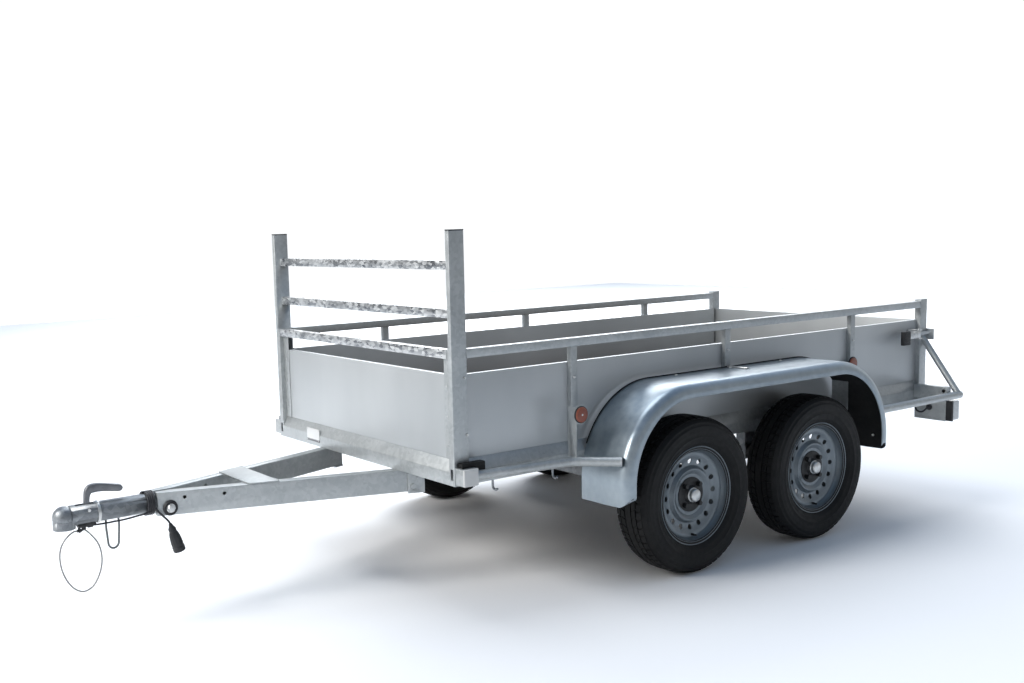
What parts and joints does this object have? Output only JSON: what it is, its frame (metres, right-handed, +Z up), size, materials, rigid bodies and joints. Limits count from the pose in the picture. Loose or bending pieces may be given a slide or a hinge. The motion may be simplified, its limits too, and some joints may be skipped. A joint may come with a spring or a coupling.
{
  "type": "tandem-axle box trailer with ladder rack",
  "caption": "Galvanised tandem-axle box trailer: open bed, ladder rack, V drawbar with ball coupling, sprung swing-arm wheels and a drop tailgate with lever latches.",
  "frame": {"origin": "on the ground, in the middle of the trailer's overall length and width", "axes": "+X forward to the drawbar, +Y to the left side, +Z up"},
  "size_m": [3.815, 1.7, 1.271],
  "materials": {
    "zinc": "galvanised, mottled",
    "zinc_dull": "galvanised, weathered",
    "zinc_bright": "bright zinc plate",
    "sheet": "plain, satin",
    "fender_steel": "smooth galvanised sheet",
    "plywood": "film-faced, slip-resistant",
    "plastic_black": "moulded",
    "cable_sheath": "smooth",
    "wire_rope": "stranded",
    "handle_paint": "dark, cast",
    "arm_steel": "black",
    "rim_paint": "silver-grey enamel",
    "hub_steel": "zinc plated",
    "tyre_rubber": "matt",
    "reflector_amber": "prismatic",
    "lens_red": "clear moulded"
  },
  "bodies": {
    "trailer_frame": {"side_sills": "zinc", "front_sill": "zinc", "rear_sill": "zinc", "cross_members": "zinc_dull", "floor_panel": "plywood", "side_boards": "sheet", "front_board": "sheet", "front_channels": "zinc", "ladder_posts": "zinc", "post_caps": "plastic_black", "ladder_bars": "zinc", "side_rails": "zinc", "rail_posts": "zinc", "rear_posts": "zinc", "drawbar_beams": "zinc", "drawbar_gusset": "zinc", "drawbar_clamps": "zinc", "coupling_body": "zinc_dull", "coupling_bolts": "zinc_bright", "safety_bail": "zinc_dull", "cable_bracket": "plastic_black", "breakaway_cable": "wire_rope", "plug_cord": "cable_sheath", "plug": "plastic_black", "cable_bundle": "cable_sheath", "corner_stubs": "zinc", "stay_tubes": "zinc", "rope_hooks": "zinc_dull", "fender_left": "fender_steel", "fender_right": "fender_steel", "side_reflectors": "reflector_amber", "axle_beams": "zinc_dull", "hinge_pins": "zinc_bright", "latch_bases": "zinc_bright", "lamp_brackets": "zinc", "tail_lamps": "plastic_black", "lamp_lenses": "lens_red", "lamp_cables": "cable_sheath", "id_plate": "zinc_bright"},
    "swing_arm_front_left": {"arm_front_left": "arm_steel"},
    "wheel_front_left": {"tyre_front_left": "tyre_rubber", "rim_front_left": "rim_paint", "hub_front_left": "hub_steel"},
    "swing_arm_front_right": {"arm_front_right": "arm_steel"},
    "wheel_front_right": {"tyre_front_right": "tyre_rubber", "rim_front_right": "rim_paint", "hub_front_right": "hub_steel"},
    "swing_arm_rear_left": {"arm_rear_left": "arm_steel"},
    "wheel_rear_left": {"tyre_rear_left": "tyre_rubber", "rim_rear_left": "rim_paint", "hub_rear_left": "hub_steel"},
    "swing_arm_rear_right": {"arm_rear_right": "arm_steel"},
    "wheel_rear_right": {"tyre_rear_right": "tyre_rubber", "rim_rear_right": "rim_paint", "hub_rear_right": "hub_steel"},
    "handle": {"coupling_handle": "handle_paint"},
    "jaw": {"coupling_jaw": "zinc_dull"},
    "gate": {"tailgate": "sheet"},
    "latch_lever_left": {"latch_left": "plastic_black"},
    "latch_lever_right": {"latch_right": "plastic_black"}
  },
  "joints": [
    {"name": "suspension_front_left", "type": "hinge", "parent": "trailer_frame", "child": "swing_arm_front_left", "pos_m": [-0.0135, 0.6, 0.3445], "axis": [0, 1, 0], "range_deg": [-6, 16], "stiffness_Nm_per_rad": 1380, "springref_deg": -4.43},
    {"name": "spin_front_left", "type": "hinge", "parent": "swing_arm_front_left", "child": "wheel_front_left", "pos_m": [-0.1535, 0.757, 0.2885], "axis": [0, 1, 0], "continuous": true},
    {"name": "suspension_front_right", "type": "hinge", "parent": "trailer_frame", "child": "swing_arm_front_right", "pos_m": [-0.0135, -0.6, 0.3445], "axis": [0, 1, 0], "range_deg": [-6, 16], "stiffness_Nm_per_rad": 1380, "springref_deg": -4.43},
    {"name": "spin_front_right", "type": "hinge", "parent": "swing_arm_front_right", "child": "wheel_front_right", "pos_m": [-0.1535, -0.757, 0.2885], "axis": [0, 1, 0], "continuous": true},
    {"name": "suspension_rear_left", "type": "hinge", "parent": "trailer_frame", "child": "swing_arm_rear_left", "pos_m": [-0.7115, 0.6, 0.3445], "axis": [0, 1, 0], "range_deg": [-6, 16], "stiffness_Nm_per_rad": 1380, "springref_deg": -1.71},
    {"name": "spin_rear_left", "type": "hinge", "parent": "swing_arm_rear_left", "child": "wheel_rear_left", "pos_m": [-0.8515, 0.757, 0.2885], "axis": [0, 1, 0], "continuous": true},
    {"name": "suspension_rear_right", "type": "hinge", "parent": "trailer_frame", "child": "swing_arm_rear_right", "pos_m": [-0.7115, -0.6, 0.3445], "axis": [0, 1, 0], "range_deg": [-6, 16], "stiffness_Nm_per_rad": 1380, "springref_deg": -1.71},
    {"name": "spin_rear_right", "type": "hinge", "parent": "swing_arm_rear_right", "child": "wheel_rear_right", "pos_m": [-0.8515, -0.757, 0.2885], "axis": [0, 1, 0], "continuous": true},
    {"name": "handle_lift", "type": "hinge", "parent": "trailer_frame", "child": "handle", "pos_m": [1.7975, 0, 0.411], "axis": [0, 1, 0], "range_deg": [0, 45], "stiffness_Nm_per_rad": 2, "springref_deg": -34.38},
    {"name": "jaw_slide", "type": "slide", "parent": "trailer_frame", "child": "jaw", "axis": [1, 0, 0], "range_m": [-0.008, 0]},
    {"name": "gate_hinge", "type": "hinge", "parent": "trailer_frame", "child": "gate", "pos_m": [-1.8855, 0, 0.526], "axis": [0, -1, 0], "range_deg": [0, 90]},
    {"name": "latch_turn_left", "type": "hinge", "parent": "trailer_frame", "child": "latch_lever_left", "pos_m": [-1.8025, 0.646, 0.738], "axis": [0, 0, 1], "range_deg": [0, 95]},
    {"name": "latch_turn_right", "type": "hinge", "parent": "trailer_frame", "child": "latch_lever_right", "pos_m": [-1.8025, -0.646, 0.738], "axis": [0, 0, -1], "range_deg": [0, 95]}
  ],
  "couplings": [
    {"joint": "jaw_slide", "follows": "handle_lift", "m_per_rad": -0.010186}
  ]
}
